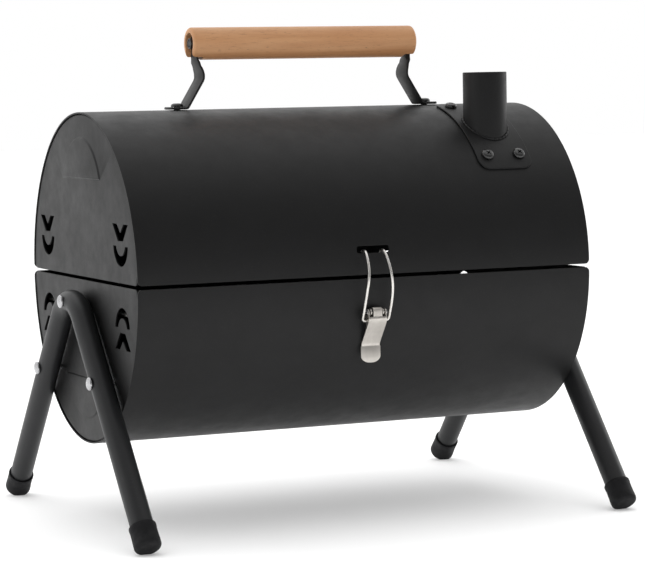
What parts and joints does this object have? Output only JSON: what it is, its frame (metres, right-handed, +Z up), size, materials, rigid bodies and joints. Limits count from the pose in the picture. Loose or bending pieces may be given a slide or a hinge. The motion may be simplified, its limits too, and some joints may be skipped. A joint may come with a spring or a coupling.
{
  "type": "portable barrel charcoal grill",
  "caption": "Table-top barrel charcoal grill: hinged half-cylinder lid with a short chimney, wooden carry handle, wire draw latch and two bent-tube leg frames.",
  "frame": {"origin": "centre of the footprint of the four feet, on the table", "axes": "+X along the barrel to the chimney end, -Y to the front with the latch, +Z up"},
  "size_m": [0.3956, 0.3202, 0.362],
  "materials": {
    "black_sheet": "matt black heat-resistant powder coat",
    "black_tube": "satin black powder coat",
    "black_fastener": "black zinc, slightly glossy",
    "chrome": "bright chrome",
    "nickel": "nickel-plated steel",
    "grate_steel": "plated steel wire",
    "rubber": "matt moulded rubber",
    "wood": "turned beech, light satin varnish"
  },
  "bodies": {
    "lower_half": {"lower_shell": "black_sheet", "lower_end_left": "black_sheet", "lower_end_right": "black_sheet", "grid_rest_left": "black_sheet", "grid_rest_right": "black_sheet", "hinge_left_lower_leaf": "black_sheet", "hinge_right_lower_leaf": "black_sheet", "leg_left": "black_tube", "leg_right": "black_tube", "hinge_rivet_lower_left_outer": "black_fastener", "hinge_rivet_lower_left_inner": "black_fastener", "hinge_rivet_lower_right_outer": "black_fastener", "hinge_rivet_lower_right_inner": "black_fastener", "leg_rivet_left_top": "chrome", "leg_rivet_left_front": "chrome", "leg_rivet_left_back": "chrome", "leg_rivet_right_top": "chrome", "leg_rivet_right_front": "chrome", "leg_rivet_right_back": "chrome", "latch_base": "nickel", "latch_base_rivet_upper": "nickel", "latch_base_rivet_lower": "nickel", "latch_pin": "nickel", "hinge_left_pin": "nickel", "hinge_right_pin": "nickel", "foot_cap_front_left": "rubber", "foot_cap_front_right": "rubber", "foot_cap_back_left": "rubber", "foot_cap_back_right": "rubber"},
    "lid": {"lid_shell": "black_sheet", "lid_end_left": "black_sheet", "lid_end_right": "black_sheet", "handle_bracket_left": "black_sheet", "handle_bracket_right": "black_sheet", "handle_screw_left": "black_fastener", "handle_screw_right": "black_fastener", "handle_screw_nut_left": "nickel", "handle_screw_nut_right": "nickel", "handle_rod": "nickel", "handle_rod_nut_left": "nickel", "handle_rod_nut_right": "nickel", "handle_grip": "wood", "chimney_saddle": "black_sheet", "chimney_tube": "black_sheet", "chimney_screw_upper_left": "black_fastener", "chimney_screw_upper_right": "black_fastener", "chimney_screw_lower_left": "black_fastener", "chimney_screw_lower_right": "black_fastener", "hinge_left_upper_leaf": "black_sheet", "hinge_right_upper_leaf": "black_sheet", "hinge_rivet_upper_left_outer": "black_fastener", "hinge_rivet_upper_left_inner": "black_fastener", "hinge_rivet_upper_right_outer": "black_fastener", "hinge_rivet_upper_right_inner": "black_fastener"},
    "latch_lever": {"latch_lever": "nickel"},
    "latch_bail": {"latch_bail": "nickel"},
    "cooking_grid": {"cooking_grid": "grate_steel"},
    "charcoal_grate": {"charcoal_grate": "grate_steel"}
  },
  "joints": [
    {"name": "lid_hinge", "type": "hinge", "parent": "lower_half", "child": "lid", "pos_m": [0, 0.124, 0.18], "axis": [-1, 0, 0], "range_deg": [0, 178]},
    {"name": "latch_lever", "type": "hinge", "parent": "lower_half", "child": "latch_lever", "pos_m": [0.0015, -0.12202, 0.1545], "axis": [-1, 0, 0], "range_deg": [0, 125]},
    {"name": "latch_bail", "type": "hinge", "parent": "latch_lever", "child": "latch_bail", "pos_m": [0.0015, -0.12082, 0.1485], "axis": [-1, 0, 0], "range_deg": [-170, 0]},
    {"name": "cooking_grid_lift", "type": "slide", "parent": "lower_half", "child": "cooking_grid", "axis": [0, 0, 1], "range_m": [0, 0.022]},
    {"name": "charcoal_grate_lift", "type": "slide", "parent": "lower_half", "child": "charcoal_grate", "axis": [0, 0, 1], "range_m": [0, 0.035]}
  ],
  "couplings": [
    {"joint": "latch_bail", "follows": "latch_lever", "ratio": -1.35}
  ]
}
